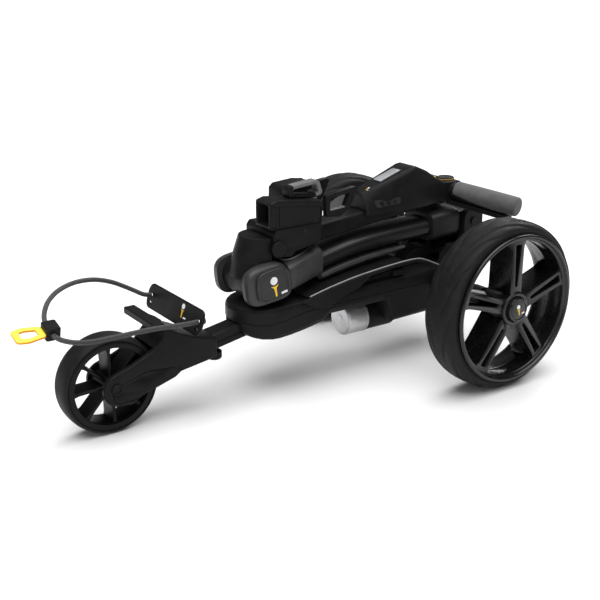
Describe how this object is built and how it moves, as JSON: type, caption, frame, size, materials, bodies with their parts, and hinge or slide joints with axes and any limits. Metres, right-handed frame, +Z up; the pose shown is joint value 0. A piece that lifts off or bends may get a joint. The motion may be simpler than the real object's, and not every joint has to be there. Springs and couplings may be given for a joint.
{
  "type": "electric golf trolley",
  "caption": "Folded three-wheel electric golf trolley with a hinged mast, folding handle shaft, bag supports, worm-drive rear axle, battery and T-bar handle.",
  "frame": {"origin": "on the floor under the middle of the folded trolley's bounding box", "axes": "+Y from the front wheel towards the rear axle and handle, +Z up, +X to the left-hand wheel seen from behind the front wheel looking at the handle"},
  "size_m": [0.538, 0.941, 0.367],
  "materials": {
    "satin_black": "satin",
    "gloss_black": "gloss",
    "satin_grey": "satin",
    "tyre_rubber": "matte",
    "grip_rubber": "matte",
    "motor_silver": "satin",
    "steel": "satin",
    "brass": "satin",
    "tag_yellow": "satin",
    "cord_black": "matte",
    "screen_glass": "gloss",
    "board_green": "satin",
    "badge_silver": "satin"
  },
  "bodies": {
    "chassis": {"axle_bearing_left": "steel", "axle_bearing_right": "steel", "axle_tube_left": "satin_black", "axle_tube_right": "satin_black", "bag_foot_bar": "satin_black", "battery_connector": "satin_black", "battery_lid": "satin_black", "battery_pack": "satin_black", "bungee_clamp": "satin_black", "bungee_cord": "cord_black", "chassis_cover": "satin_black", "chassis_tub": "satin_black", "fork": "satin_black", "front_axle_bolt": "steel", "gearbox_case": "satin_black", "hinge_bracket": "satin_black", "lower_bag_bracket": "satin_black", "lower_tube": "satin_black", "mast_hinge_pin": "steel", "motor_can": "motor_silver", "motor_end_ring": "motor_silver", "pull_tag": "tag_yellow"},
    "mast": {"mast_collar": "satin_grey", "mast_tube": "gloss_black", "mast_underpanel": "satin_grey", "mast_sleeve": "satin_grey", "knuckle_cap_left": "satin_grey", "knuckle_cap_right": "satin_grey", "knuckle_pin": "steel"},
    "shaft": {"knuckle_tongue": "satin_black", "shaft_tube": "satin_black", "bag_support_base": "satin_black", "support_bolt": "satin_grey", "bag_support_pod": "satin_black", "bag_support_saddle": "satin_black", "bag_support_pad": "satin_grey", "console_shell": "satin_black", "control_board": "board_green", "display_screen": "screen_glass", "badge_plate": "badge_silver", "handle_bar": "satin_black", "grip_left": "grip_rubber", "grip_right": "grip_rubber"},
    "latch": {"mast_latch": "satin_grey"},
    "arm_left": {"bag_arm_left": "satin_black"},
    "arm_right": {"bag_arm_right": "satin_black"},
    "dial": {"speed_dial": "satin_black"},
    "power": {"power_button": "tag_yellow"},
    "drive_train": {"drive_axle": "steel", "worm_wheel": "brass", "rear_tyre_left": "tyre_rubber", "rear_tyre_right": "tyre_rubber", "rear_rim_left": "satin_black", "rear_rim_right": "satin_black"},
    "worm": {"motor_worm": "steel"},
    "front_wheel": {"front_tyre": "tyre_rubber", "front_rim": "satin_black"},
    "hub_left": {"wheel_button_left": "gloss_black"},
    "hub_right": {"wheel_button_right": "gloss_black"},
    "knob": {"tracking_knob": "satin_black"}
  },
  "joints": [
    {"name": "mast_fold", "type": "hinge", "parent": "chassis", "child": "mast", "pos_m": [0, 0.3865, 0.246], "axis": [1, 0, 0], "range_deg": [-118, 0]},
    {"name": "shaft_fold", "type": "hinge", "parent": "mast", "child": "shaft", "pos_m": [0, -0.0825, 0.207], "axis": [1, 0, 0], "range_deg": [0, 160]},
    {"name": "latch_lift", "type": "hinge", "parent": "chassis", "child": "latch", "pos_m": [0, 0.416, 0.1985], "axis": [-1, 0, 0], "range_deg": [0, 20], "stiffness_Nm_per_rad": 0.25, "springref_deg": -8.59},
    {"name": "arm_left_swing", "type": "hinge", "parent": "shaft", "child": "arm_left", "pos_m": [0.041, 0.0485, 0.322], "axis": [0, 0, -1], "range_deg": [0, 55]},
    {"name": "arm_right_swing", "type": "hinge", "parent": "shaft", "child": "arm_right", "pos_m": [-0.041, 0.0485, 0.322], "axis": [0, 0, 1], "range_deg": [0, 55]},
    {"name": "dial_turn", "type": "hinge", "parent": "shaft", "child": "dial", "pos_m": [0, 0.3545, 0.325], "axis": [0, 0, 1], "range_deg": [-150, 150]},
    {"name": "power_press", "type": "slide", "parent": "shaft", "child": "power", "axis": [0, 0, -1], "range_m": [0, 0.001], "stiffness_N_per_m": 300, "springref_m": -0.0005},
    {"name": "drive_turn", "type": "hinge", "parent": "chassis", "child": "drive_train", "pos_m": [0, 0.2885, 0.15], "axis": [1, 0, 0], "continuous": true},
    {"name": "worm_turn", "type": "hinge", "parent": "chassis", "child": "worm", "pos_m": [0, 0.2885, 0.09], "axis": [0, 1, 0], "continuous": true},
    {"name": "front_wheel_turn", "type": "hinge", "parent": "chassis", "child": "front_wheel", "pos_m": [0, -0.3565, 0.082], "axis": [1, 0, 0], "continuous": true},
    {"name": "release_left", "type": "slide", "parent": "drive_train", "child": "hub_left", "axis": [-1, 0, 0], "range_m": [0, 0.003], "stiffness_N_per_m": 300, "springref_m": -0.001},
    {"name": "release_right", "type": "slide", "parent": "drive_train", "child": "hub_right", "axis": [1, 0, 0], "range_m": [0, 0.003], "stiffness_N_per_m": 300, "springref_m": -0.001},
    {"name": "tracking_turn", "type": "hinge", "parent": "chassis", "child": "knob", "pos_m": [0, -0.1585, 0.085], "axis": [0, 0, 1], "range_deg": [-90, 90]}
  ],
  "couplings": [
    {"joint": "shaft_fold", "follows": "mast_fold", "ratio": -1.3559},
    {"joint": "worm_turn", "follows": "drive_turn", "ratio": 30}
  ]
}
